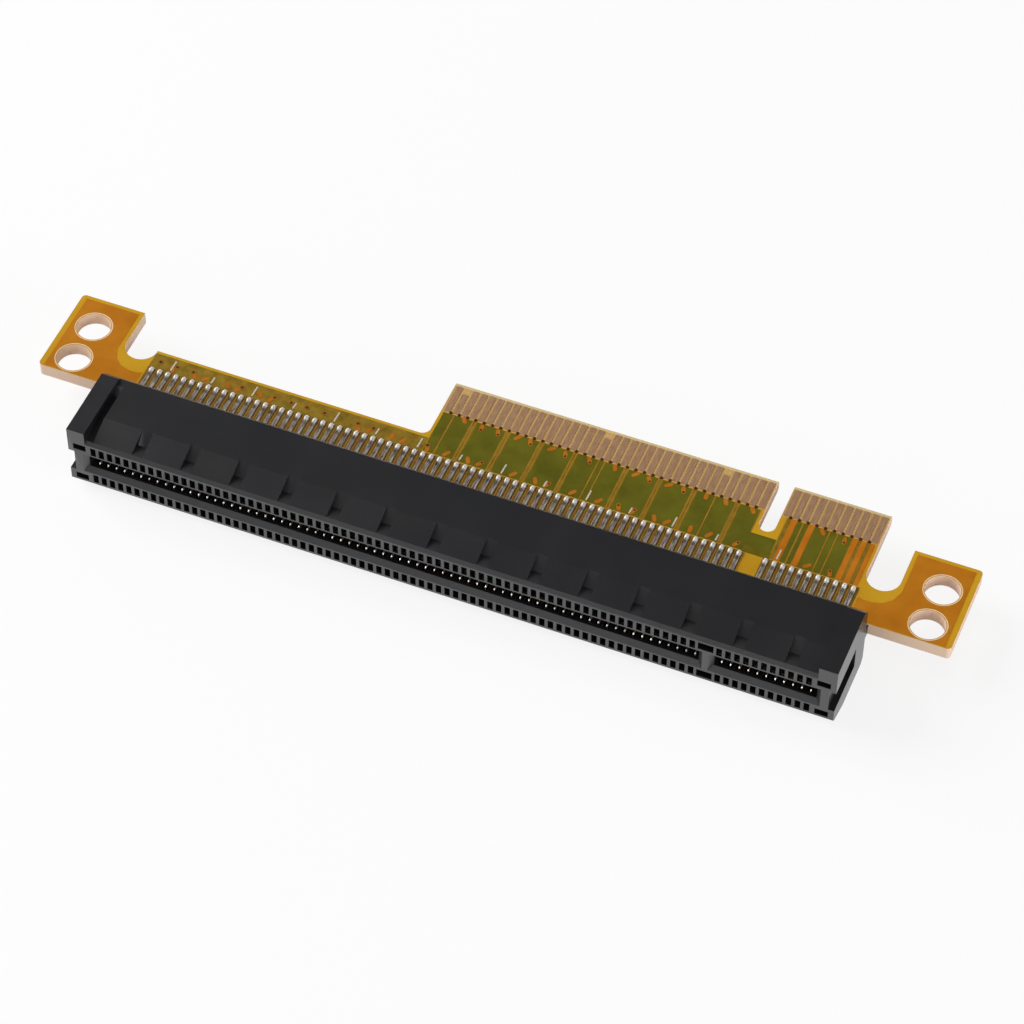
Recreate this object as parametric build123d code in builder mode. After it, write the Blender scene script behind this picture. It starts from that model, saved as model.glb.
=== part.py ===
from build123d import *
import math
import os

# A riser card: a straddle mounted card slot soldered to the edge of a small board,
# whose other edge is a plug tongue that goes into another slot of the same family.
# All sizes in millimetres. X runs along the slot, +Y points from the slot to the tongue.
# The origin is under the middle of the card, on the surface that it lies on.

os.makedirs("parts", exist_ok=True)

# Contact row, shared by the slot and the tongue. The slot has as many contacts as fit
# across the board; those past the short side of the key are on its long side.
pitch = 1.0                     # from contact to contact
short_count = 11                # contacts on the short side of the key
tongue_long_count = 38          # tongue fingers on the long side of the key
key_span = 3.0                  # from the last short contact to the first long one
row_end_room = 12.0             # least room from the outer contact to the end of the board

# Circuit board
board_width = 107.4
board_depth = 15.43             # slot edge to tongue tip
board_thickness = 1.6
tab_width = 7.75
tab_setback = 3.88              # tab end, back from the tongue tip
shoulder_setback = 8.6          # plain rear edge beside the tongue, back from its tip
notch_width = 3.85              # round bottomed slots that part the tabs from the middle
notch_setback = 10.6            # deepest point of the notches, back from the tongue tip
corner_radius = 0.5
root_radius = 1.0               # inside corner at the long end of the tongue
tip_bevel = 0.35
hole_end_margin = 3.3           # middle of the holes to the end of the board
hole_pitch = 5.08               # between the two holes of one tab
hole_setback = 2.35             # first hole, from the slot edge of the board
hole_diameter = 3.95

# Tongue
tongue_side_margin = 0.65       # middle of the last finger to the side of the tongue
key_notch_width = 1.9
key_notch_depth = 7.5
finger_width = 0.7
finger_length = 3.92
finger_setback = 0.68           # finger ends, back from the tongue tip
finger_thickness = 0.05
late_finger_setback = 0.9       # some fingers are shorter, to make contact last
late_pins_upper = (17, 31, 48)
late_pins_lower = (1,)

# Slot housing
housing_depth = 9.83
housing_height = 8.8
housing_end_margin = 3.05       # middle of the outer contact to the end of the housing
board_gap = 0.85                # rear of the housing to the board edge
slot_height = 1.74
slot_depth = 8.2
floor_bar_height = 1.4          # bar across the inner end of the slot
slot_end_margin = 0.85          # middle of the outer contact to the end of the slot
lead_in = 0.55                  # bevel round the mouth of the slot
key_width = 1.75
channel_depth = 0.6             # open channel in the rear face, for the tails

# Front edge of the housing
rim_height = 3.1                # flat front face, half its height
rim_bevel = 0.37
slope_length = 3.4              # sloping pads behind the front edge
groove_width = 1.3              # grooves between the pads
groove_pitch = 5.81
groove_margin = 7.6             # far end of the housing to the first groove
groove_end_room = 4.6           # least room from the last groove to the end at contact 1
groove_floor = 2.75             # level floor of the grooves, back from the front face
groove_ramp = 0.85              # length of the ramp from that floor up to the flat top
end_block_width = 2.1           # raised blocks on top, one at each end
end_block_rise = 0.45
far_groove_width = 0.85         # long groove beside the far block
far_groove_floor = 7.4
rear_bevel = 0.55               # upper and lower rear edges
side_groove_height = 3.0
side_groove_depth = 0.7
side_groove_length = 6.5
board_stop_width = 1.6
board_stop_height = 1.3

# Cells and windows
cell_width = 0.64
window_low = 1.62               # lower edge of the front windows, from the middle plane
window_high = 2.82
bar_depth = 0.95                # slanted bar between the windows and the slot
blind_depth = 3.0
end_window_width = 1.5
end_window_height = 0.85
end_window_margin = 1.65        # middle of the outer contact to the middle of the window
key_window_height = 1.06

# Contacts
contact_width = 0.4
contact_thickness = 0.2
tail_length = 4.2               # tail on the board
tail_knee = 0.35                # bend of the tail, inside the rear face of the housing
spring_gap = 1.5                # free opening between the two rows of springs
crest_setback = 1.27            # spring crest, behind the front face
nose_length = 0.3               # slanted nose in front of the crest, along the slot depth
nose_rise = 0.5
elbow_setback = 7.2             # outer bend of the spring, behind the front face
roof_clearance = 0.05           # outer bend to the roof of its cell
bank_size = 12                  # contacts to a bank

# Places worked out from the sizes
overall_depth = housing_depth + board_gap + board_depth
front_y = -overall_depth / 2
rear_y = front_y + housing_depth
edge_y = rear_y + board_gap
tip_y = edge_y + board_depth
middle_z = housing_height / 2
half_board = board_thickness / 2
half_slot = slot_height / 2

row_room = board_width - 2 * row_end_room - key_span
slot_count = math.floor(row_room / pitch) + 2
slot_span = (slot_count - 2) * pitch + key_span
first_x = slot_span / 2
key_x = first_x - (short_count - 1) * pitch - key_span / 2
housing_length = slot_span + 2 * housing_end_margin
groove_room = housing_length - groove_margin - groove_end_room - groove_width
groove_count = math.floor(groove_room / groove_pitch) + 1
tongue_end_x = first_x - (short_count + tongue_long_count - 2) * pitch - key_span


def pin_x(pin):
    """Place of a contact along the row; pin 1 is at the short end."""
    jump = 0 if pin <= short_count else key_span - pitch
    return first_x - (pin - 1) * pitch - jump


# Circuit board: glass laminate, routed to shape in one piece
tab_inner = board_width / 2 - tab_width
tongue_right = tab_inner - notch_width
tongue_left = tongue_end_x - tongue_side_margin
tab_y = tip_y - tab_setback
shoulder_y = tip_y - shoulder_setback
notch_y = tip_y - notch_setback
close_by = 0.01                 # how near an edge is to the place that it is picked by

with BuildPart() as board:
    with BuildSketch(Plane.XY.offset(middle_z - half_board)):
        with Locations((0, edge_y)):
            Rectangle(board_width, tab_y - edge_y, align=(Align.CENTER, Align.MIN))
        with Locations((0, shoulder_y)):
            Rectangle(2 * tab_inner, tip_y - shoulder_y, align=(Align.CENTER, Align.MIN),
                      mode=Mode.SUBTRACT)
        with Locations((tongue_left, shoulder_y)):
            Rectangle(tongue_right - tongue_left, tip_y - shoulder_y, align=(Align.MIN, Align.MIN))
        for side in (-1, 1):
            with Locations((side * (tab_inner - notch_width / 2), notch_y + notch_width / 2)):
                Circle(notch_width / 2, mode=Mode.SUBTRACT)
                Rectangle(notch_width, tip_y - notch_y, align=(Align.CENTER, Align.MIN),
                          mode=Mode.SUBTRACT)
        with Locations((key_x, tip_y - key_notch_depth + key_notch_width / 2)):
            Circle(key_notch_width / 2, mode=Mode.SUBTRACT)
            Rectangle(key_notch_width, key_notch_depth, align=(Align.CENTER, Align.MIN),
                      mode=Mode.SUBTRACT)
        with Locations((0, edge_y + hole_setback + hole_pitch / 2)):
            with GridLocations(board_width - 2 * hole_end_margin, hole_pitch, 2, 2):
                Circle(hole_diameter / 2, mode=Mode.SUBTRACT)
    extrude(amount=board_thickness)
    for corner_x in (-board_width / 2, board_width / 2):
        fillet(board.edges().filter_by(Axis.Z).filter_by_position(
            Axis.X, corner_x - close_by, corner_x + close_by), corner_radius)
    fillet(board.edges().filter_by(Axis.Z)
           .filter_by_position(Axis.X, tongue_left - close_by, tongue_left + close_by)
           .filter_by_position(Axis.Y, shoulder_y - close_by, shoulder_y + close_by), root_radius)
    chamfer(board.edges().filter_by(Axis.X)
            .filter_by_position(Axis.Y, tip_y - close_by, tip_y + close_by), tip_bevel)
board.part.label = "circuit_board"
export_step(board.part, "parts/circuit_board.step")


# Slot housing: one moulding in glass filled nylon
half_length = housing_length / 2
floor_y = front_y + slot_depth
channel_y = rear_y - channel_depth
bevel_z = rim_height + rim_bevel
slope_y = front_y + slope_length
slot_end = first_x + slot_end_margin
key_right = key_x + key_width / 2
key_left = key_x - key_width / 2


def across(side, offset):
    """Height of a point that lies a given offset above or below the middle plane."""
    return middle_z + side * offset


with BuildPart() as housing:
    with BuildSketch(Plane.YZ.offset(-half_length)):
        with BuildLine():
            Polyline(
                (rear_y, across(1, middle_z - rear_bevel)),
                (rear_y - rear_bevel, across(1, middle_z)),
                (slope_y, across(1, middle_z)),
                (front_y + rim_bevel, across(1, bevel_z)),
                (front_y, across(1, rim_height)),
                (front_y, across(-1, rim_height)),
                (front_y + rim_bevel, across(-1, bevel_z)),
                (slope_y, across(-1, middle_z)),
                (rear_y - rear_bevel, across(-1, middle_z)),
                (rear_y, across(-1, middle_z - rear_bevel)),
                close=True,
            )
        make_face()
    extrude(amount=housing_length)

    # Grooves between the pads on top, and a long one beside the far block. Each has a
    # level floor and a ramp up to the flat.
    groove_planes = [
        Plane.YZ.offset(groove_margin - half_length + number * groove_pitch)
        for number in range(groove_count)
    ]
    far_groove_planes = [Plane.YZ.offset(end_block_width - half_length)]
    for planes, width, floor_length in ((groove_planes, groove_width, groove_floor),
                                        (far_groove_planes, far_groove_width, far_groove_floor)):
        with BuildSketch(*planes):
            with BuildLine():
                Polyline(
                    (front_y + rim_bevel, across(1, bevel_z)),
                    (front_y + floor_length, across(1, bevel_z)),
                    (front_y + floor_length + groove_ramp, across(1, middle_z)),
                    (front_y + rim_bevel, across(1, middle_z)),
                    close=True,
                )
            make_face()
        extrude(amount=width, mode=Mode.SUBTRACT)

    # Raised block at each end, with a straight front face and the rear bevel carried on
    block_top = middle_z + end_block_rise
    for side in (-1, 1):
        with BuildSketch(Plane.YZ.offset(side * (half_length - end_block_width))):
            with BuildLine():
                Polyline(
                    (front_y, across(1, rim_height)),
                    (front_y, across(1, block_top)),
                    (rear_y - rear_bevel - end_block_rise, across(1, block_top)),
                    (rear_y - rear_bevel, across(1, middle_z)),
                    (rear_y - rear_bevel, across(1, rim_height)),
                    close=True,
                )
            make_face()
        extrude(amount=side * end_block_width)

    # Slot with a bevelled mouth, in two parts that leave the key post between them
    for slot_left, slot_right in ((-slot_end, key_left), (key_right, slot_end)):
        slot_middle = (slot_left + slot_right) / 2
        with BuildSketch(Plane.XZ.offset(-front_y)):
            with Locations((slot_middle, middle_z)):
                Rectangle(slot_right - slot_left, slot_height)
        extrude(amount=-(channel_y - front_y), mode=Mode.SUBTRACT)
        with BuildSketch(Plane.XZ.offset(-front_y)):
            with Locations((slot_middle, middle_z)):
                Rectangle(slot_right - slot_left + 2 * lead_in, slot_height + 2 * lead_in)
        extrude(amount=-lead_in, taper=45, mode=Mode.SUBTRACT)

    # Floor of the slot: a bar from end to end, a little thinner than the slot
    with BuildSketch(Plane.XZ.offset(-floor_y)):
        with Locations((0, middle_z)):
            Rectangle(2 * slot_end, floor_bar_height)
    extrude(amount=-(channel_y - floor_y))

    # One cell for each contact, open to the front window, the slot and the rear channel
    for side in (-1, 1):
        cell_planes = [
            Plane.YZ.offset(pin_x(pin) - cell_width / 2)
            for pin in range(1, slot_count + 1)
        ]
        with BuildSketch(*cell_planes):
            with BuildLine():
                Polyline(
                    (front_y, across(side, window_high)),
                    (front_y, across(side, window_low)),
                    (front_y + bar_depth, across(side, half_slot)),
                    (channel_y, across(side, half_slot)),
                    (channel_y, across(side, window_high)),
                    close=True,
                )
            make_face()
        extrude(amount=cell_width, mode=Mode.SUBTRACT)

    # Channel in the rear face, as high as the cells
    with BuildSketch(Plane.XZ.offset(-rear_y)):
        with Locations((0, middle_z)):
            Rectangle(slot_span + cell_width, 2 * window_high)
    extrude(amount=channel_depth, mode=Mode.SUBTRACT)

    # Blind windows at the two ends and at the key
    with BuildSketch(Plane.XZ.offset(-front_y)):
        for side in (-1, 1):
            end_window_z = across(side, window_high - end_window_height / 2)
            for end in (-1, 1):
                with Locations((end * (first_x + end_window_margin), end_window_z)):
                    Rectangle(end_window_width, end_window_height)
            with Locations((key_x, across(side, window_high - key_window_height / 2))):
                Rectangle(key_width, key_window_height)
    extrude(amount=-blind_depth, mode=Mode.SUBTRACT)

    # Open groove in each end face, level with the slot
    for end in (-1, 1):
        with BuildSketch(Plane.XZ.offset(-front_y)):
            with Locations((end * half_length, middle_z)):
                Rectangle(2 * side_groove_depth, side_groove_height)
        extrude(amount=-side_groove_length, mode=Mode.SUBTRACT)

    # Stops that the board edge is pushed against
    with BuildSketch(Plane.XZ.offset(-rear_y)):
        for end in (-1, 1):
            with Locations((end * half_length, middle_z)):
                Rectangle(board_stop_width, board_stop_height,
                          align=(Align.MAX if end > 0 else Align.MIN, Align.CENTER))
    extrude(amount=-board_gap)
housing.part.label = "slot_housing"
export_step(housing.part, "parts/slot_housing.step")


# Contacts: bent strips of bronze, tail on the board, spring in the cell
tail_y = edge_y + tail_length
knee_y = rear_y - tail_knee
crest_z = spring_gap / 2
elbow_z = window_high - roof_clearance
elbow_y = front_y + elbow_setback
crest_y = front_y + crest_setback
nose_y = crest_y - nose_length
nose_z = crest_z + nose_rise


def contact_bank(side, first_pin, last_pin):
    """Contacts of one side, from one pin number to another."""
    with BuildPart() as bank:
        planes = [
            Plane.YZ.offset(pin_x(pin) - contact_width / 2)
            for pin in range(first_pin, last_pin + 1)
        ]
        with BuildSketch(*planes):
            with BuildLine():
                Polyline(
                    (tail_y, across(side, half_board)),
                    (knee_y, across(side, half_board)),
                    (elbow_y, across(side, elbow_z - contact_thickness)),
                    (crest_y, across(side, crest_z)),
                    (nose_y, across(side, nose_z)),
                    (elbow_y, across(side, elbow_z)),
                    (knee_y, across(side, half_board + contact_thickness)),
                    (tail_y, across(side, half_board + contact_thickness)),
                    close=True,
                )
            make_face()
        extrude(amount=contact_width)
    return bank


bank_starts = [1] + list(range(short_count + 1, slot_count + 1, bank_size))
bank_ends = [start - 1 for start in bank_starts[1:]] + [slot_count]
for row_name, side in (("upper", 1), ("lower", -1)):
    for bank_number, (first_pin, last_pin) in enumerate(zip(bank_starts, bank_ends), 1):
        bank = contact_bank(side, first_pin, last_pin)
        bank.part.label = f"{row_name}_contacts_{bank_number}"
        export_step(bank.part, f"parts/{bank.part.label}.step")


# Edge fingers: gold plated copper on both faces of the tongue
def finger_row(side, pins, late_pins):
    """Fingers of one face; the late ones stop short of the tongue tip."""
    with BuildPart() as row:
        with BuildSketch(Plane.XY.offset(across(side, half_board))):
            for pin in pins:
                late = late_finger_setback if pin in late_pins else 0
                with Locations((pin_x(pin), tip_y - finger_setback - finger_length)):
                    Rectangle(finger_width, finger_length - late,
                              align=(Align.CENTER, Align.MIN))
        extrude(amount=side * finger_thickness)
    return row


short_pins = range(1, short_count + 1)
long_pins = range(short_count + 1, short_count + tongue_long_count + 1)
for row_name, side, late_pins in (("upper", 1, late_pins_upper), ("lower", -1, late_pins_lower)):
    for section, pins in (("short", short_pins), ("long", long_pins)):
        row = finger_row(side, pins, late_pins)
        row.part.label = f"{row_name}_fingers_{section}"
        export_step(row.part, f"parts/{row.part.label}.step")
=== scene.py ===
import math

import bmesh
import bpy
from mathutils import Matrix, Vector


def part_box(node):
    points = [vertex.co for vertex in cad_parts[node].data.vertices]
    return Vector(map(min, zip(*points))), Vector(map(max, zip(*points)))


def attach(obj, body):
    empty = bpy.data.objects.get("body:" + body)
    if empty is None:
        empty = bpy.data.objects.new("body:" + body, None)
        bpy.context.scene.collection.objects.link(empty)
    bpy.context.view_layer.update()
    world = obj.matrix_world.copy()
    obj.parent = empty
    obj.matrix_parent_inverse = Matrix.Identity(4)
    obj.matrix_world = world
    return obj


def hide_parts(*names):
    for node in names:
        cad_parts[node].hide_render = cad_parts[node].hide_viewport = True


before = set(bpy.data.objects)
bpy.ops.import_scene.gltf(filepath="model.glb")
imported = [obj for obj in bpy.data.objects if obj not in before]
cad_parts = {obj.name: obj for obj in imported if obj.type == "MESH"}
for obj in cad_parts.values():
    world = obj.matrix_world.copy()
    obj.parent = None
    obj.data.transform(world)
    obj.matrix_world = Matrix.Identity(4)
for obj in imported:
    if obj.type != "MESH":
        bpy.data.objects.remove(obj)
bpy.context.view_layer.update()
scene = bpy.context.scene
scene.view_settings.view_transform = "Standard"


# Camera. A long lens about 42 cm away looks down on the slot side of the card, from a
# little towards contact 1, as the photograph does.
mm = 0.001
camera_place = Vector((103.98, -253.26, 325.58)) * mm
camera_aim = Vector((3.69, -2.34, 5.2)) * mm
sight = (camera_aim - camera_place).normalized()
camera_right = Vector((0.9263, 0.3766, 0.0050))
camera_right = (camera_right - sight * camera_right.dot(sight)).normalized()
camera_up = camera_right.cross(sight)
camera_data = bpy.data.cameras.new("camera")
camera_data.lens = 135.6
camera_data.sensor_width = 36.0
camera_data.clip_start = 0.01
camera = bpy.data.objects.new("camera", camera_data)
camera_turn = Matrix((camera_right, camera_up, -sight)).transposed().to_4x4()
camera.matrix_world = Matrix.Translation(camera_place) @ camera_turn
scene.collection.objects.link(camera)
scene.camera = camera


# Floor. A plain white table that goes on past the picture on every side. The camera and
# the gloss of the card see it nearly white, and it keeps a soft shadow below the card.
def hex_colour(code):
    """An sRGB hex colour as the linear values that Blender works with."""
    parts = [int(code[place:place + 2], 16) / 255 for place in (1, 3, 5)]
    return [c / 12.92 if c <= 0.04045 else ((c + 0.055) / 1.055) ** 2.4 for c in parts] + [1.0]


def add_node(material, kind, settings, inputs):
    """Adds a node to a material, with its settings and a value or a link for each input."""
    tree = material.node_tree
    node = tree.nodes.new(kind)
    for name, value in settings.items():
        setattr(node, name, value)
    for name, value in inputs.items():
        if isinstance(value, bpy.types.NodeSocket):
            tree.links.new(value, node.inputs[name])
        else:
            node.inputs[name].default_value = value
    return node


def blank_material(name):
    """A material whose nodes are all still to be added."""
    material = bpy.data.materials.new(name)
    material.use_nodes = True
    material.node_tree.nodes.clear()
    return material


# Opal acrylic sheet lit from below: white and matt, so most of a shadow on it is filled in.
tabletop = blank_material("white_opal_acrylic_table")
tabletop_paint = add_node(tabletop, "ShaderNodeBsdfDiffuse", {}, {"Color": hex_colour("#F4F4F4")})
tabletop_white = add_node(tabletop, "ShaderNodeEmission", {},
                          {"Color": hex_colour("#FFFFFF"), "Strength": 1.0})
tabletop_rays = add_node(tabletop, "ShaderNodeLightPath", {}, {})
tabletop_seen = add_node(tabletop, "ShaderNodeMath", {"operation": "MAXIMUM"},
                         {0: tabletop_rays.outputs["Is Camera Ray"],
                          1: tabletop_rays.outputs["Is Glossy Ray"]})
tabletop_share = add_node(tabletop, "ShaderNodeMath", {"operation": "MULTIPLY"},
                          {0: tabletop_seen.outputs[0], 1: 0.84})
tabletop_mix = add_node(tabletop, "ShaderNodeMixShader", {},
                        {0: tabletop_share.outputs[0], 1: tabletop_paint.outputs[0],
                         2: tabletop_white.outputs[0]})
add_node(tabletop, "ShaderNodeOutputMaterial", {}, {"Surface": tabletop_mix.outputs[0]})

floor_reach = 1.5                # metres from the card to each side of the table
floor_gap = 0.01 * mm            # keeps the housing's flat underside clear of the table
floor_form = bmesh.new()
bmesh.ops.create_grid(floor_form, x_segments=1, y_segments=1, size=floor_reach,
                      matrix=Matrix.Translation((0, 0, -floor_gap)))
floor_mesh = bpy.data.meshes.new("floor")
floor_form.to_mesh(floor_mesh)
floor_form.free()
floor = bpy.data.objects.new("floor", floor_mesh)
floor.data.materials.append(tabletop)
scene.collection.objects.link(floor)


# Light. A room with pale walls and a dim ceiling, a soft box high on the left, which
# leaves the right sides of the ribs in shade, and weaker ones on the other sides.
room = bpy.data.worlds.new("room_with_dim_ceiling")
room.use_nodes = True
room_place = add_node(room, "ShaderNodeTexCoord", {}, {})
room_xyz = add_node(room, "ShaderNodeSeparateXYZ", {}, {0: room_place.outputs["Generated"]})
# The walls glow at 0.70 as far up as a slope of 0.2, and fade to a ceiling of 0.08 above 0.7.
room_level = add_node(room, "ShaderNodeMapRange", {},
                      {0: room_xyz.outputs["Z"], 1: 0.2, 2: 0.7, 3: 0.70, 4: 0.08})
room_paint = room.node_tree.nodes["Background"]
room_paint.inputs["Color"].default_value = hex_colour("#FFFFFF")
room.node_tree.links.new(room_level.outputs[0], room_paint.inputs["Strength"])
scene.world = room
# Each has a place and a size in metres, and a power in watts. The last value says whether
# gloss mirrors the lamp: the strong ones would wash out a low view.
card_middle = Vector((0.0, 0.0, 0.004))
for lamp_name, lamp_place, lamp_size, lamp_power, lamp_shines in (
        ("soft_box_left", (-0.62, 0.06, 0.42), 0.56, 2.6, True),
        ("bounce_left", (-0.62, 0.06, 0.42), 0.56, 4.4, False),
        ("bounce_right", (0.60, -0.22, 0.10), 0.30, 2.4, False),
        ("soft_box_front", (-0.12, -0.70, 0.20), 0.30, 0.8, True),
        ("soft_box_high", (0.24, -0.20, 0.60), 0.40, 0.5, True)):
    lamp_data = bpy.data.lights.new(lamp_name, "AREA")
    lamp_data.shape = "SQUARE"
    lamp_data.size = lamp_size
    lamp_data.energy = lamp_power
    lamp = bpy.data.objects.new(lamp_name, lamp_data)
    lamp_turn = (card_middle - Vector(lamp_place)).to_track_quat("-Z", "Y").to_matrix().to_4x4()
    lamp.matrix_world = Matrix.Translation(lamp_place) @ lamp_turn
    lamp.visible_glossy = lamp_shines
    scene.collection.objects.link(lamp)


# Circuit board. Woven glass and epoxy laminate, routed to shape, with an amber solder mask
# on both faces. The tongue is left bare, and so are the routed edges and the drilled holes.
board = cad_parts["circuit_board"]
board_low, board_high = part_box("circuit_board")
board_top = board_high.z
board_bottom = board_low.z
mask_edge = 8.35 * mm            # the mask ends just under the fingers
tip_edge = 12.42 * mm            # the ground tip of the tongue starts here
tongue_middle, tongue_reach = 16.5 * mm, 27.0 * mm

# Glass epoxy under solder mask: the mask is a glossy, slightly see-through lacquer, so the
# cloth below shows as a faint grid. Bare laminate is pale, and duller where it was cut.
laminate = blank_material("glass_epoxy_with_amber_mask")
laminate_place = add_node(laminate, "ShaderNodeTexCoord", {}, {})
laminate_xyz = add_node(laminate, "ShaderNodeSeparateXYZ", {}, {0: laminate_place.outputs["Object"]})
laminate_facing = add_node(laminate, "ShaderNodeSeparateXYZ", {}, {0: laminate_place.outputs["Normal"]})
laminate_slope = add_node(laminate, "ShaderNodeMath", {"operation": "ABSOLUTE"},
                          {0: laminate_facing.outputs["Z"]})
laminate_flat = add_node(laminate, "ShaderNodeMath", {"operation": "GREATER_THAN"},
                         {0: laminate_slope.outputs[0], 1: 0.8})
laminate_past = add_node(laminate, "ShaderNodeMath", {"operation": "GREATER_THAN"},
                         {0: laminate_xyz.outputs["Y"], 1: mask_edge})
laminate_near = add_node(laminate, "ShaderNodeMath", {"operation": "COMPARE"},
                         {0: laminate_xyz.outputs["X"], 1: tongue_middle, 2: tongue_reach})
laminate_bare = add_node(laminate, "ShaderNodeMath", {"operation": "MULTIPLY"},
                         {0: laminate_past.outputs[0], 1: laminate_near.outputs[0]})
# Glass threads lie 0.45 mm apart, woven both ways. A wave of scale 0.314 repeats once a metre.
thread_step = 0.45 * mm
one_wave = 0.314
weave_along = add_node(laminate, "ShaderNodeTexWave", {"wave_type": "BANDS", "bands_direction": "X"},
                       {"Vector": laminate_place.outputs["Object"], "Scale": one_wave / thread_step,
                        "Distortion": 0.6, "Detail": 1.0})
weave_across = add_node(laminate, "ShaderNodeTexWave", {"wave_type": "BANDS", "bands_direction": "Y"},
                        {"Vector": laminate_place.outputs["Object"], "Scale": one_wave / thread_step,
                         "Distortion": 0.6, "Detail": 1.0})
weave = add_node(laminate, "ShaderNodeMath", {"operation": "MULTIPLY"},
                 {0: weave_along.outputs["Fac"], 1: weave_across.outputs["Fac"]})
# Uneven mask thickness clouds the colour over 4 mm or so.
mask_cloud = add_node(laminate, "ShaderNodeTexNoise", {},
                      {"Vector": laminate_place.outputs["Object"], "Scale": 1 / (4 * mm), "Detail": 3.0})
mask_tone = add_node(laminate, "ShaderNodeMix", {"data_type": "RGBA"},
                     {0: mask_cloud.outputs["Fac"], 6: hex_colour("#BE8A12"), 7: hex_colour("#D6A526")})
mask_thread = add_node(laminate, "ShaderNodeMath", {"operation": "MULTIPLY"},
                       {0: weave.outputs[0], 1: 0.08})
mask_colour = add_node(laminate, "ShaderNodeMix", {"data_type": "RGBA"},
                       {0: mask_thread.outputs[0], 6: mask_tone.outputs[2], 7: hex_colour("#E8BE4A")})
bare_thread = add_node(laminate, "ShaderNodeMath", {"operation": "MULTIPLY"},
                       {0: weave.outputs[0], 1: 0.5})
tongue_colour = add_node(laminate, "ShaderNodeMix", {"data_type": "RGBA"},
                         {0: bare_thread.outputs[0], 6: hex_colour("#C8A062"), 7: hex_colour("#DCC08C")})
# Past the fingers the tongue is ground down a little for an easy start, and is paler there.
laminate_tip = add_node(laminate, "ShaderNodeMath", {"operation": "GREATER_THAN"},
                        {0: laminate_xyz.outputs["Y"], 1: tip_edge})
bare_colour = add_node(laminate, "ShaderNodeMix", {"data_type": "RGBA"},
                       {0: laminate_tip.outputs[0], 6: tongue_colour.outputs[2], 7: hex_colour("#D8BE88")})
face_colour = add_node(laminate, "ShaderNodeMix", {"data_type": "RGBA"},
                       {0: laminate_bare.outputs[0], 6: mask_colour.outputs[2], 7: bare_colour.outputs[2]})
# The cut edge shows the plies of the laminate, about 0.2 mm each.
ply = add_node(laminate, "ShaderNodeTexWave", {"wave_type": "BANDS", "bands_direction": "Z"},
               {"Vector": laminate_place.outputs["Object"], "Scale": one_wave / (0.2 * mm),
                "Distortion": 1.5})
cut_colour = add_node(laminate, "ShaderNodeMix", {"data_type": "RGBA"},
                      {0: ply.outputs["Fac"], 6: hex_colour("#D2AE90"), 7: hex_colour("#EAD2BE")})
board_colour = add_node(laminate, "ShaderNodeMix", {"data_type": "RGBA"},
                        {0: laminate_flat.outputs[0], 6: cut_colour.outputs[2], 7: face_colour.outputs[2]})
board_rough = add_node(laminate, "ShaderNodeMapRange", {},
                       {0: laminate_flat.outputs[0], 3: 0.62, 4: 0.30})
board_bump = add_node(laminate, "ShaderNodeBump", {},
                      {"Height": weave.outputs[0], "Strength": 0.15, "Distance": 0.01 * mm})
laminate_shader = add_node(laminate, "ShaderNodeBsdfPrincipled", {},
                           {"Base Color": board_colour.outputs[2], "Roughness": board_rough.outputs[0],
                            "Normal": board_bump.outputs[0], "IOR": 1.5, "Specular IOR Level": 0.35})
add_node(laminate, "ShaderNodeOutputMaterial", {}, {"Surface": laminate_shader.outputs[0]})
board.data.materials.clear()
board.data.materials.append(laminate)


# Copper fields of the tabs. One sheet of foil in each tab lies under the mask, on both
# faces, and stops short of the routed outline and of the screw holes.
foil = 0.018 * mm
board_faces = (("upper", 1), ("lower", -1))
hole_x = 50.4
hole_rows = (-0.025, 5.055)
hole_rim = 2.19                  # the foil stops here, round a hole of radius 1.975
tab_field = ((53.05, -2.26), (53.05, 8.72), (46.45, 8.72), (46.45, 3.1), (45.9, 1.7), (45.0, 0.9),
             (43.9, 0.6), (42.9, 0.6), (42.3, 0.8), (42.3, -2.26))


def lay_on(form, side):
    """Lays a flat form, drawn at no height, on the upper or lower face of the board."""
    if side < 0:
        bmesh.ops.scale(form, verts=form.verts, vec=(1, 1, -1))
    bmesh.ops.translate(form, verts=form.verts, vec=(0, 0, board_top if side > 0 else board_bottom))
    bmesh.ops.recalc_face_normals(form, faces=form.faces)


def thicken(form, thickness):
    """Gives flat faces a thickness, upwards, and closes them underneath."""
    flat_faces = list(form.faces)
    raised = bmesh.ops.extrude_face_region(form, geom=flat_faces, use_keep_orig=True)
    raised_verts = [item for item in raised["geom"] if isinstance(item, bmesh.types.BMVert)]
    bmesh.ops.translate(form, verts=raised_verts, vec=(0, 0, thickness))


def finish_piece(name, form, material, body="root"):
    """Turns a form into a piece of the card, with its material and its body."""
    mesh = bpy.data.meshes.new(name)
    form.to_mesh(mesh)
    form.free()
    piece = bpy.data.objects.new(name, mesh)
    piece.data.materials.append(material)
    scene.collection.objects.link(piece)
    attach(piece, body)
    return piece


def add_film(name, form, thickness, side, material):
    """Gives a flat form its thickness, lays it on a face of the board and finishes it."""
    thicken(form, thickness)
    lay_on(form, side)
    return finish_piece(name, form, material)


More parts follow.
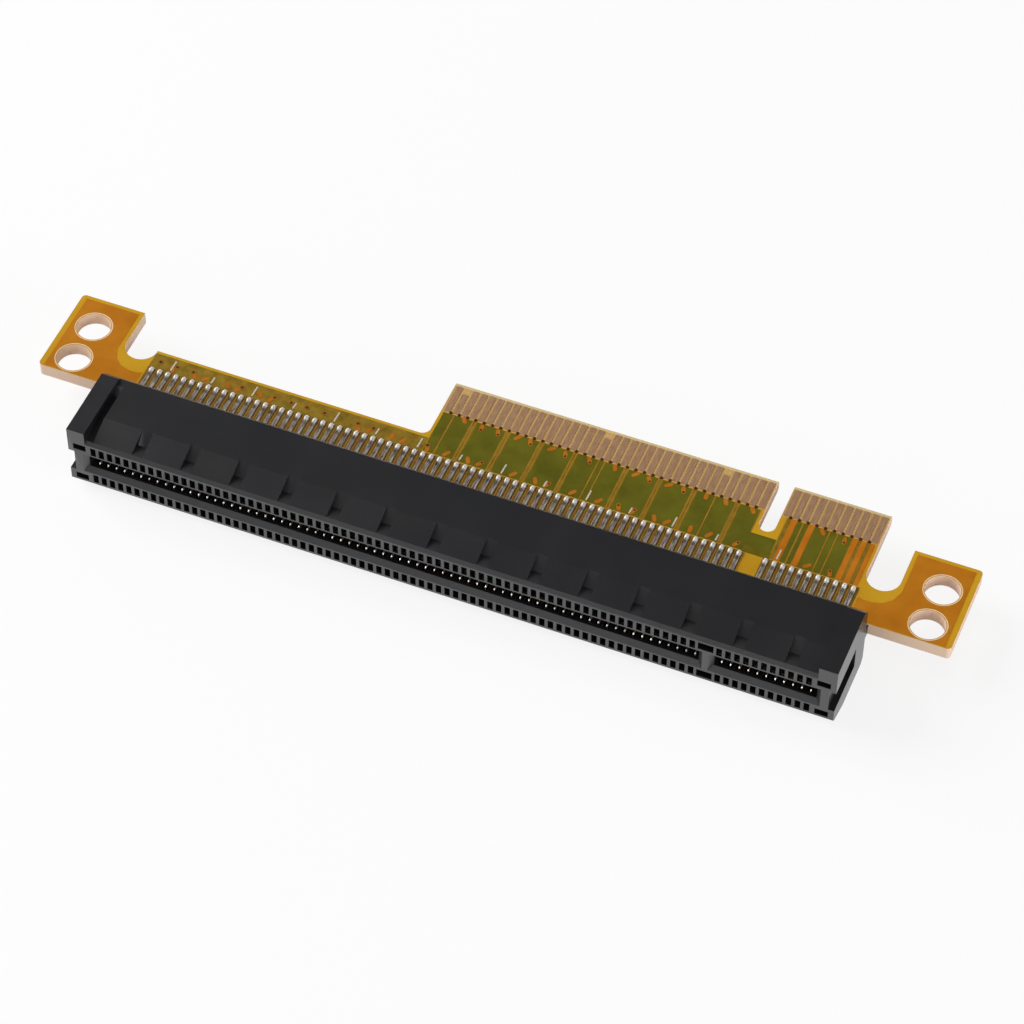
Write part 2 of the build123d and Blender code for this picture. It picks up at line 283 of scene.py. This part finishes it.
def masked_copper(name, dark, light, cloud_step):
    """Solder mask over copper or core: glossy lacquer, clouded, over a matt ground."""
    material = blank_material(name)
    place = add_node(material, "ShaderNodeTexCoord", {}, {})
    cloud = add_node(material, "ShaderNodeTexNoise", {},
                     {"Vector": place.outputs["Object"], "Scale": 1 / cloud_step, "Detail": 4.0,
                      "Roughness": 0.6})
    spread = add_node(material, "ShaderNodeMapRange", {}, {0: cloud.outputs["Fac"], 1: 0.3, 2: 0.7})
    tone = add_node(material, "ShaderNodeMix", {"data_type": "RGBA"},
                    {0: spread.outputs[0], 6: hex_colour(dark), 7: hex_colour(light)})
    ripple = add_node(material, "ShaderNodeTexNoise", {},
                      {"Vector": place.outputs["Object"], "Scale": 1 / (0.6 * mm), "Detail": 2.0})
    bump = add_node(material, "ShaderNodeBump", {},
                    {"Height": ripple.outputs["Fac"], "Strength": 0.12, "Distance": 0.02 * mm})
    shader = add_node(material, "ShaderNodeBsdfPrincipled", {},
                      {"Base Color": tone.outputs[2], "Roughness": 0.30, "IOR": 1.5,
                       "Specular IOR Level": 0.3, "Normal": bump.outputs[0]})
    add_node(material, "ShaderNodeOutputMaterial", {}, {"Surface": shader.outputs[0]})
    return material


mask_on_copper = masked_copper("amber_mask_on_copper", "#B06A10", "#C57E1C", 5 * mm)
for face_name, side in board_faces:
    for end_name, end in (("right", 1), ("left", -1)):
        field = bmesh.new()
        corners = [field.verts.new((end * x * mm, y * mm, 0)) for x, y in tab_field]
        for number, corner in enumerate(corners):
            field.edges.new((corner, corners[number - 1]))
        for row in hole_rows:
            bmesh.ops.create_circle(field, segments=36, radius=hole_rim * mm,
                                    matrix=Matrix.Translation((end * hole_x * mm, row * mm, 0)))
        bmesh.ops.triangle_fill(field, edges=field.edges, use_beauty=True)
        add_film(f"{face_name}_tab_foil_{end_name}", field, foil, side, mask_on_copper)


# Rings of bare laminate round the screw holes. The mask is held back from each hole, so a
# pale rim shows between the hole and the foil.
# Bare epoxy glass: pale, milky and a little rough where the mask doesn't cover it.
bare_rim = blank_material("bare_epoxy_glass")
rim_place = add_node(bare_rim, "ShaderNodeTexCoord", {}, {})
rim_grain = add_node(bare_rim, "ShaderNodeTexNoise", {},
                     {"Vector": rim_place.outputs["Object"], "Scale": 1 / (0.4 * mm), "Detail": 3.0})
rim_tone = add_node(bare_rim, "ShaderNodeMix", {"data_type": "RGBA"},
                    {0: rim_grain.outputs["Fac"], 6: hex_colour("#E0BC90"), 7: hex_colour("#F6E6CC")})
rim_shader = add_node(bare_rim, "ShaderNodeBsdfPrincipled", {},
                      {"Base Color": rim_tone.outputs[2], "Roughness": 0.55, "IOR": 1.5})
add_node(bare_rim, "ShaderNodeOutputMaterial", {}, {"Surface": rim_shader.outputs[0]})
rim_inside = 2.08                # its outside is where the foil stops
rim_film = 0.008 * mm
for face_name, side in board_faces:
    rims = bmesh.new()
    for end in (1, -1):
        for row in hole_rows:
            rim_centre = Matrix.Translation((end * hole_x * mm, row * mm, 0))
            outer = bmesh.ops.create_circle(rims, segments=36, radius=hole_rim * mm, matrix=rim_centre)
            inner = bmesh.ops.create_circle(rims, segments=36, radius=rim_inside * mm, matrix=rim_centre)
            loops = {edge for vert in outer["verts"] + inner["verts"] for edge in vert.link_edges}
            bmesh.ops.bridge_loops(rims, edges=list(loops))
    add_film(f"{face_name}_hole_rims", rims, rim_film, side, bare_rim)


# Panels of bare core. Between the slot and the fingers the outer layers carry little
# copper, and the dark green core shows through the mask in panels, parted by traces.
panel_spans = ((-8.75, -7.62), (-7.38, -5.38), (-4.66, -1.37), (-0.65, 2.65), (3.35, 6.67), (7.33, 9.65),
               (9.85, 10.35), (10.55, 12.67), (13.33, 16.67), (17.33, 20.67), (21.33, 23.3), (23.52, 25.67),
               (26.33, 28.55), (32.92, 33.42), (33.66, 34.1), (34.92, 36.5), (36.7, 37.4), (37.6, 39.1))
panel_low, panel_high = 2.15, 8.2
thin_core_spans = ((-42.1, -8.85, 1.9, 4.1), (-8.8, 28.7, 2.1, 8.25), (31.65, 41.3, 2.1, 8.25))
panel_film, thin_core_film = 0.012 * mm, 0.006 * mm


def add_strip(form, left, right, low, high, lean=0.0):
    """Adds one flat strip of the given outline, leaning sideways if asked."""
    made = bmesh.ops.create_grid(form, x_segments=1, y_segments=1, size=0.5)["verts"]
    bmesh.ops.scale(form, verts=made, vec=((right - left) * mm, (high - low) * mm, 1))
    if lean:
        top_verts = [vert for vert in made if vert.co.y > 0]
        bmesh.ops.translate(form, verts=top_verts, vec=(lean * mm, 0, 0))
    bmesh.ops.translate(form, verts=made, vec=((left + right) / 2 * mm, (low + high) / 2 * mm, 0))
    return made


green_core = masked_copper("amber_mask_on_green_core", "#575410", "#6B6819", 3 * mm)
olive_core = masked_copper("amber_mask_on_thin_core", "#745C16", "#9C7E2A", 1.2 * mm)
# A darker olive-brown band beside the key's green panel is painted shadow on the mask.
painted_shadow_band = masked_copper("painted_shadow_on_amber_mask", "#5E520F", "#736614", 1.2 * mm)
for face_name, side in board_faces:
    panels = bmesh.new()
    for left, right in panel_spans:
        add_strip(panels, left, right, panel_low, panel_high)
    add_strip(panels, 28.56, 31.6, 2.95, 4.85)
    add_film(f"{face_name}_core_panels", panels, panel_film, side, green_core)
    # Painted shadow: a dark band just behind the solder row at the key.
    patches = bmesh.new()
    add_strip(patches, 28.56, 31.8, 1.97, 2.95)
    add_film(f"{face_name}_painted_shadow_patches", patches, panel_film, side, painted_shadow_band)
    strip = bmesh.new()
    for left, right, low, high in thin_core_spans:
        add_strip(strip, left, right, low, high)
    add_film(f"{face_name}_core_strip", strip, thin_core_film, side, olive_core)


# Traces. Etched copper strips under the mask run from the slot to the fingers: wide ones
# for power near contact 1, and thin ones in pairs for the signals.
trace_pairs = (-5.02, -1.01, 3.0, 7.0, 13.0, 17.0, 21.0, 26.0)
thin_traces = (-7.5, 9.75, 10.45, 23.41, 31.75, 33.54, 36.6, 37.5)
power_traces = ((32.5, 0.66), (34.5, 0.66), (39.52, 0.62), (40.5, 0.62), (41.5, 0.5))
thin_low, power_low, trace_high = 2.0, 2.1, 8.3
pair_offset, thin_half = 0.17, 0.05
trace_film = 0.03 * mm
trace_copper = masked_copper("amber_mask_on_trace", "#9C6E18", "#B48428", 2 * mm)
power_copper = masked_copper("amber_mask_on_power_trace", "#B4650C", "#C6781C", 2 * mm)
for face_name, side in board_faces:
    traces = bmesh.new()
    for middle in trace_pairs:
        for offset in (-pair_offset, pair_offset):
            add_strip(traces, middle + offset - thin_half, middle + offset + thin_half, thin_low, trace_high)
    for middle in thin_traces:
        add_strip(traces, middle - thin_half, middle + thin_half, thin_low, trace_high)
    add_film(f"{face_name}_traces", traces, trace_film, side, trace_copper)
    power = bmesh.new()
    for middle, width in power_traces:
        add_strip(power, middle - width / 2, middle + width / 2, power_low, trace_high)
    add_film(f"{face_name}_power_traces", power, trace_film, side, power_copper)


# Lands and vias. Short fat strips of copper lead to plated holes that join the layers.
# The mask dips into each hole, and the shade in it is painted as a dark disc. A land has
# its middle, its turn in degrees, and 1 or 2 for a via at its near or far end.
land_places = (
    (-6.2, 7.95, 35, 0), (-4.0, 7.6, 5, 1), (-2.05, 7.65, 20, 1), (0.25, 7.85, -35, 0), (1.8, 7.7, 25, 1),
    (4.3, 7.75, -50, 0), (6.0, 7.55, 15, 1), (8.8, 7.7, 30, 1), (11.75, 7.8, 25, 0), (14.2, 7.8, -40, 0),
    (15.85, 7.65, 30, 1), (18.1, 7.75, -50, 0), (19.85, 7.65, 20, 1), (22.45, 7.8, 5, 0), (24.7, 7.85, 30, 0),
    (27.8, 7.85, 35, 0), (35.85, 7.85, 35, 0), (38.45, 7.55, 10, 1),
    (-8.4, 2.6, 10, 0), (-6.15, 2.7, -35, 0), (-3.6, 2.7, 25, 0), (-2.2, 2.75, -40, 2), (1.75, 2.7, -40, 0),
    (4.35, 2.75, 25, 0), (5.75, 2.7, -35, 2), (8.75, 2.75, -35, 0), (11.8, 2.7, -40, 0), (14.15, 2.7, 25, 2),
    (15.8, 2.75, -30, 2), (18.3, 2.7, 25, 0), (19.75, 2.7, -40, 0), (22.45, 2.75, 5, 0), (24.6, 2.75, -35, 0),
    (27.75, 2.7, -35, 2), (35.85, 2.7, -50, 0), (38.45, 2.7, 15, 2),
    (-39.4, 2.55, 30, 0), (-36.65, 2.55, 25, 0), (-35.3, 2.65, -50, 0), (-32.6, 2.75, 25, 0),
    (-31.35, 2.6, -25, 0), (-28.7, 2.8, 30, 0), (-27.4, 2.5, -30, 0), (-16.65, 2.5, 25, 0),
    (-15.35, 2.6, -30, 0), (-12.65, 2.8, 15, 0), (-11.3, 2.6, -30, 0))
ring_places = (-41.05, -39.0, -37.0, -31.0, -27.0, -25.0, -23.1, -20.95, -16.9, -15.0, -8.55)
ring_y = 3.03
ring_radius, ring_via_radius = 0.34, 0.17
land_width, land_length = 0.5, 1.05
land_via_radius, land_via_reach = 0.14, 0.27
land_film, ring_film, via_film = 0.034 * mm, 0.036 * mm, 0.04 * mm


def add_land(form, x, y, turn):
    """Adds one flat land with round ends, turned by some degrees."""
    made = bmesh.ops.create_circle(form, cap_ends=True, segments=12, radius=land_width / 2 * mm)["verts"]
    reach = (land_length - land_width) / 2 * mm
    for way in (1, -1):
        end_verts = [vert for vert in made if vert.co.y * way > 1e-7]
        bmesh.ops.translate(form, verts=end_verts, vec=(0, way * reach, 0))
    bmesh.ops.rotate(form, verts=made, matrix=Matrix.Rotation(math.radians(turn), 3, "Z"))
    bmesh.ops.translate(form, verts=made, vec=(x * mm, y * mm, 0))


land_copper = masked_copper("amber_mask_on_land", "#A8600F", "#BE7422", 1.5 * mm)
ring_copper = masked_copper("amber_mask_on_ring", "#86581A", "#A4702A", 0.8 * mm)
# Painted shade: each via hole is drawn as a dark disc on the mask.
via_painted_shade = masked_copper("painted_shade_in_a_via", "#3A1E08", "#5A3210", 0.4 * mm)
for face_name, side in board_faces:
    lands = bmesh.new()
    rings = bmesh.new()
    vias = bmesh.new()
    for x in ring_places:
        ring_centre = Matrix.Translation((x * mm, ring_y * mm, 0))
        bmesh.ops.create_circle(rings, cap_ends=True, segments=12, radius=ring_radius * mm,
                                matrix=ring_centre)
        bmesh.ops.create_circle(vias, cap_ends=True, segments=10, radius=ring_via_radius * mm,
                                matrix=ring_centre)
    for x, y, turn, via_end in land_places:
        add_land(lands, x, y, turn)
        if via_end:
            toward = Vector((0, land_via_reach if via_end == 2 else -land_via_reach))
            toward.rotate(Matrix.Rotation(math.radians(turn), 2))
            via_centre = Matrix.Translation(((x + toward.x) * mm, (y + toward.y) * mm, 0))
            bmesh.ops.create_circle(vias, cap_ends=True, segments=10, radius=land_via_radius * mm,
                                    matrix=via_centre)
    add_film(f"{face_name}_lands", lands, land_film, side, land_copper)
    add_film(f"{face_name}_via_rings", rings, ring_film, side, ring_copper)
    add_film(f"{face_name}_vias", vias, via_film, side, via_painted_shade)


# Roots of the fingers. Each finger is fed through a tiny plated hole just below its end,
# and the shade in the holes is painted as a row of dark dots along the edge of the mask.
pitch = 1.0
first_pin_x = 41.5
root_radius, root_y = 0.22, 8.42
root_film = 0.03 * mm


def pin_x(pin):
    """Place of a contact along the row, in millimetres; the key lies after contact 11."""
    return first_pin_x - (pin - 1) * pitch - (0 if pin <= 11 else 2.0)


for face_name, side in board_faces:
    roots = bmesh.new()
    for pin in list(range(1, 11)) + list(range(12, 49)):
        root_centre = Matrix.Translation(((pin_x(pin) - pitch / 2) * mm, root_y * mm, 0))
        bmesh.ops.create_circle(roots, cap_ends=True, segments=8, radius=root_radius * mm, matrix=root_centre)
    add_film(f"{face_name}_finger_roots", roots, root_film, side, via_painted_shade)


# Count marks. Short printed ticks behind the solder row mark every fifth contact, with a
# longer one at every tenth. They are on the upper face only.
# Printed epoxy ink: matt white, with thin patches where the screen let less through.
white_ink = blank_material("white_epoxy_ink")
ink_place = add_node(white_ink, "ShaderNodeTexCoord", {}, {})
ink_patch = add_node(white_ink, "ShaderNodeTexNoise", {},
                     {"Vector": ink_place.outputs["Object"], "Scale": 1 / (0.25 * mm), "Detail": 2.0})
ink_tone = add_node(white_ink, "ShaderNodeMix", {"data_type": "RGBA"},
                    {0: ink_patch.outputs["Fac"], 6: hex_colour("#AE9C78"), 7: hex_colour("#E8E2D4")})
ink_shader = add_node(white_ink, "ShaderNodeBsdfPrincipled", {},
                      {"Base Color": ink_tone.outputs[2], "Roughness": 0.6, "IOR": 1.5})
add_node(white_ink, "ShaderNodeOutputMaterial", {}, {"Surface": ink_shader.outputs[0]})
tick_low, short_tick_top, long_tick_top = 2.3, 3.2, 3.75
tick_half, tick_lean = 0.09, 0.06
ink_film = 0.045 * mm
marks = bmesh.new()
for pin in range(10, 81, 5):
    tick_top = long_tick_top if pin % 10 == 0 else short_tick_top
    add_strip(marks, pin_x(pin) - tick_half, pin_x(pin) + tick_half, tick_low, tick_top, lean=tick_lean)
add_film("count_marks", marks, ink_film, 1, white_ink)


# Solder row. Every contact tail lies on its own tinned land on the board and is held by a
# bright fillet of solder, which has drawn up into a bead over the end of the tail.
# Tin solder: bright metal that froze with a faintly wavy skin, milky with a film of flux.
solder = blank_material("tin_solder")
solder_place = add_node(solder, "ShaderNodeTexCoord", {}, {})
solder_skin = add_node(solder, "ShaderNodeTexNoise", {},
                       {"Vector": solder_place.outputs["Object"], "Scale": 1 / (0.35 * mm), "Detail": 2.0})
solder_tone = add_node(solder, "ShaderNodeMix", {"data_type": "RGBA"},
                       {0: solder_skin.outputs["Fac"], 6: hex_colour("#E4DED8"), 7: hex_colour("#FFFCF8")})
solder_bump = add_node(solder, "ShaderNodeBump", {},
                       {"Height": solder_skin.outputs["Fac"], "Strength": 0.15, "Distance": 0.05 * mm})
solder_shader = add_node(solder, "ShaderNodeBsdfPrincipled", {},
                         {"Base Color": solder_tone.outputs[2], "Metallic": 0.4, "Roughness": 0.36,
                          "Normal": solder_bump.outputs[0]})
add_node(solder, "ShaderNodeOutputMaterial", {}, {"Surface": solder_shader.outputs[0]})
row_ground = masked_copper("amber_mask_in_the_row", "#6C4F20", "#8C7034", 0.7 * mm)
contact_count = 82
ground_spans, ground_low, ground_high = ((-42.1, 28.9), (31.1, 42.1)), -2.3, 2.0
ground_film, link_film, pad_film = 0.008 * mm, 0.02 * mm, 0.03 * mm
row_low, link_high, pad_high = -2.2, 1.9, 1.95
link_half, pad_half = 0.06, 0.24
bead_half_sizes = (0.29 * mm, 0.46 * mm, 0.40 * mm)
bead_y, bead_lift = 1.5, 0.02
for face_name, side in board_faces:
    ground = bmesh.new()
    for left, right in ground_spans:
        add_strip(ground, left, right, ground_low, ground_high)
    add_film(f"{face_name}_solder_ground", ground, ground_film, side, row_ground)
    links = bmesh.new()
    for pin in range(2, contact_count + 1):
        link_x = pin_x(pin) + pitch / 2
        add_strip(links, link_x - link_half, link_x + link_half, row_low, link_high)
    add_film(f"{face_name}_row_traces", links, link_film, side, trace_copper)
    pads = bmesh.new()
    beads = bmesh.new()
    for pin in range(1, contact_count + 1):
        add_strip(pads, pin_x(pin) - pad_half, pin_x(pin) + pad_half, row_low, pad_high)
        bead = bmesh.ops.create_uvsphere(beads, u_segments=12, v_segments=6, radius=1.0)["verts"]
        bmesh.ops.scale(beads, verts=bead, vec=bead_half_sizes)
        bmesh.ops.translate(beads, verts=bead, vec=(pin_x(pin) * mm, bead_y * mm, bead_lift * mm))
    bmesh.ops.bisect_plane(beads, geom=list(beads.verts) + list(beads.edges) + list(beads.faces),
                           plane_co=(0, 0, 0), plane_no=(0, 0, -1), clear_outer=True)
    bmesh.ops.holes_fill(beads, edges=[edge for edge in beads.edges if edge.is_boundary], sides=0)
    for face in beads.faces:
        face.smooth = True
    add_film(f"{face_name}_solder_pads", pads, pad_film, side, solder)
    lay_on(beads, side)
    finish_piece(f"{face_name}_solder_beads", beads, solder)


# Contacts. Each is stamped from bronze strip, bent, plated with tin and pushed into its
# cell from behind, so only its crest shows in the slot and only its tail on the board.
# Plated strip: smooth metal, drawn along its length, so its shine is streaked that way. A
# film of flux and tarnish takes the edge off its mirror.
plated_strip = blank_material("tin_plated_bronze_strip")
strip_place = add_node(plated_strip, "ShaderNodeTexCoord", {}, {})
# Rolling lines lie about 0.1 mm apart across the strip and run on for millimetres.
strip_map = add_node(plated_strip, "ShaderNodeMapping", {},
                     {"Vector": strip_place.outputs["Object"],
                      "Scale": (1 / (0.1 * mm), 1 / (1.2 * mm), 1 / (0.3 * mm))})
strip_lines = add_node(plated_strip, "ShaderNodeTexNoise", {},
                       {"Vector": strip_map.outputs[0], "Scale": 1.0})
strip_streak = add_node(plated_strip, "ShaderNodeMapRange", {},
                        {0: strip_lines.outputs["Fac"], 1: 0.35, 2: 0.65})
strip_tone = add_node(plated_strip, "ShaderNodeMix", {"data_type": "RGBA"},
                      {0: strip_streak.outputs[0], 6: hex_colour("#967C6A"), 7: hex_colour("#FFF6EC")})
# Painted shade darkens each tail just below its bead, where the tail slopes down and catches less light.
strip_xyz = add_node(plated_strip, "ShaderNodeSeparateXYZ", {}, {0: strip_place.outputs["Object"]})
strip_shade_band = add_node(plated_strip, "ShaderNodeMath", {"operation": "COMPARE"},
                      {0: strip_xyz.outputs["Y"], 1: 0.78 * mm, 2: 0.22 * mm})
strip_shade_share = add_node(plated_strip, "ShaderNodeMath", {"operation": "MULTIPLY"},
                       {0: strip_shade_band.outputs[0], 1: 0.5})
strip_colour = add_node(plated_strip, "ShaderNodeMix", {"data_type": "RGBA"},
                        {0: strip_shade_share.outputs[0], 6: strip_tone.outputs[2], 7: hex_colour("#2E2418")})
strip_rough = add_node(plated_strip, "ShaderNodeMapRange", {},
                       {0: strip_lines.outputs["Fac"], 3: 0.18, 4: 0.42})
strip_shader = add_node(plated_strip, "ShaderNodeBsdfPrincipled", {},
                        {"Base Color": strip_colour.outputs[2], "Metallic": 0.86,
                         "Roughness": strip_rough.outputs[0]})
add_node(plated_strip, "ShaderNodeOutputMaterial", {}, {"Surface": strip_shader.outputs[0]})
nose_start = -11.4 * mm          # in front of this each strip is coined narrower
nose_share = 0.55                # of the strip's full width
edge_round = 0.05 * mm


def merged_form(node):
    """A copy of a solid's mesh, with its corners merged and its flat faces made whole."""
    form = bmesh.new()
    form.from_mesh(node.data)
    bmesh.ops.remove_doubles(form, verts=form.verts, dist=0.0005 * mm)
    bmesh.ops.dissolve_limit(form, angle_limit=math.radians(1.0), verts=form.verts, edges=form.edges,
                             delimit=set())
    return form


def round_edges(form, edges):
    """Takes the sharpness off some edges, as a mould or a tumbling drum does."""
    bmesh.ops.bevel(form, geom=edges, offset=edge_round, offset_type="OFFSET", segments=1, profile=0.5,
                    affect="EDGES", clamp_overlap=True, material=-1)


for node_name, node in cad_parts.items():
    if "_contacts_" in node_name:
        strips = merged_form(node)
        for vert in strips.verts:
            if vert.co.y < nose_start:
                middle = (math.floor(vert.co.x / mm) + 0.5) * mm
                vert.co.x = middle + (vert.co.x - middle) * nose_share
        long_edges = [edge for edge in strips.edges
                      if abs((edge.verts[0].co - edge.verts[1].co).x) < 0.1 * mm]
        round_edges(strips, long_edges)
        strip_piece = finish_piece(f"{node_name}_strips", strips, plated_strip)
        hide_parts(node_name)


# Edge fingers. Copper pads on both faces of the tongue, plated with a thin, dull layer of
# gold that is rubbed lengthways each time the card is plugged in.
# Worn flash gold: the copper below gives it a brown pink tone, and the rub marks run along Y.
worn_gold = blank_material("worn_flash_gold")
gold_place = add_node(worn_gold, "ShaderNodeTexCoord", {}, {})
gold_map = add_node(worn_gold, "ShaderNodeMapping", {},
                    {"Vector": gold_place.outputs["Object"],
                     "Scale": (1 / (0.16 * mm), 1 / (0.9 * mm), 1 / (0.2 * mm))})
gold_rub = add_node(worn_gold, "ShaderNodeTexNoise", {},
                    {"Vector": gold_map.outputs[0], "Scale": 1.0, "Detail": 3.0})
gold_tone = add_node(worn_gold, "ShaderNodeMix", {"data_type": "RGBA"},
                     {0: gold_rub.outputs["Fac"], 6: hex_colour("#AA8062"), 7: hex_colour("#DFB48A")})
gold_rough = add_node(worn_gold, "ShaderNodeMapRange", {}, {0: gold_rub.outputs["Fac"], 3: 0.36, 4: 0.58})
gold_bump = add_node(worn_gold, "ShaderNodeBump", {},
                     {"Height": gold_rub.outputs["Fac"], "Strength": 0.3, "Distance": 0.01 * mm})
gold_shader = add_node(worn_gold, "ShaderNodeBsdfPrincipled", {},
                       {"Base Color": gold_tone.outputs[2], "Metallic": 0.6,
                        "Roughness": gold_rough.outputs[0], "Normal": gold_bump.outputs[0]})
add_node(worn_gold, "ShaderNodeOutputMaterial", {}, {"Surface": gold_shader.outputs[0]})
for node_name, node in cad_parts.items():
    if "_fingers_" in node_name:
        node.data.materials.clear()
        node.data.materials.append(worn_gold)


# Slot housing. One moulding in black glass filled nylon, with a window and a cell for
# every contact. The mould leaves its edges very slightly round, so they catch the light.
# Moulded nylon: charcoal, satin, with glass fibres that make its skin finely uneven.
nylon = blank_material("black_glass_filled_nylon")
nylon_place = add_node(nylon, "ShaderNodeTexCoord", {}, {})
# Fibre specks are about 0.12 mm long, drawn larger than real so that they show at all.
nylon_fibre = add_node(nylon, "ShaderNodeTexNoise", {},
                       {"Vector": nylon_place.outputs["Object"], "Scale": 1 / (0.12 * mm), "Detail": 3.0,
                        "Roughness": 0.6})
nylon_flow = add_node(nylon, "ShaderNodeTexNoise", {},
                      {"Vector": nylon_place.outputs["Object"], "Scale": 1 / (6 * mm), "Detail": 2.0})
nylon_speck = add_node(nylon, "ShaderNodeMix", {"data_type": "RGBA"},
                       {0: nylon_fibre.outputs["Fac"], 6: hex_colour("#131316"), 7: hex_colour("#1D1D21")})
nylon_tone = add_node(nylon, "ShaderNodeMix", {"data_type": "RGBA", "blend_type": "MULTIPLY"},
                      {0: 0.25, 6: nylon_speck.outputs[2], 7: nylon_flow.outputs["Color"]})
nylon_rough = add_node(nylon, "ShaderNodeMapRange", {}, {0: nylon_flow.outputs["Fac"], 3: 0.27, 4: 0.37})
nylon_bump = add_node(nylon, "ShaderNodeBump", {},
                      {"Height": nylon_fibre.outputs["Fac"], "Strength": 0.35, "Distance": 0.015 * mm})
nylon_shader = add_node(nylon, "ShaderNodeBsdfPrincipled", {},
                        {"Base Color": nylon_tone.outputs[2], "Roughness": nylon_rough.outputs[0],
                         "IOR": 1.53, "Specular IOR Level": 1.0, "Normal": nylon_bump.outputs[0]})
add_node(nylon, "ShaderNodeOutputMaterial", {}, {"Surface": nylon_shader.outputs[0]})
moulding = merged_form(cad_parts["slot_housing"])
# The ramps at the back of the grooves run a little deeper here than in the plain solid.
ramp_foot, ramp_toe, ramp_drop = -10.305 * mm, -10.95 * mm, 0.25 * mm
middle_height = 4.4 * mm
floor_offset = 3.47 * mm         # groove floors, above and below the middle of the housing
for vert in moulding.verts:
    at_foot = abs(vert.co.y - ramp_foot) < 0.002 * mm
    if at_foot and abs(abs(vert.co.z - middle_height) - floor_offset) < 0.01 * mm:
        vert.co.y = ramp_toe
        vert.co.z += ramp_drop if vert.co.z < middle_height else -ramp_drop
sharp_edges = [edge for edge in moulding.edges
               if len(edge.link_faces) == 2 and edge.calc_face_angle(0) > math.radians(10)]
round_edges(moulding, sharp_edges)
housing = finish_piece("slot_moulding", moulding, nylon)
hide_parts("slot_housing")
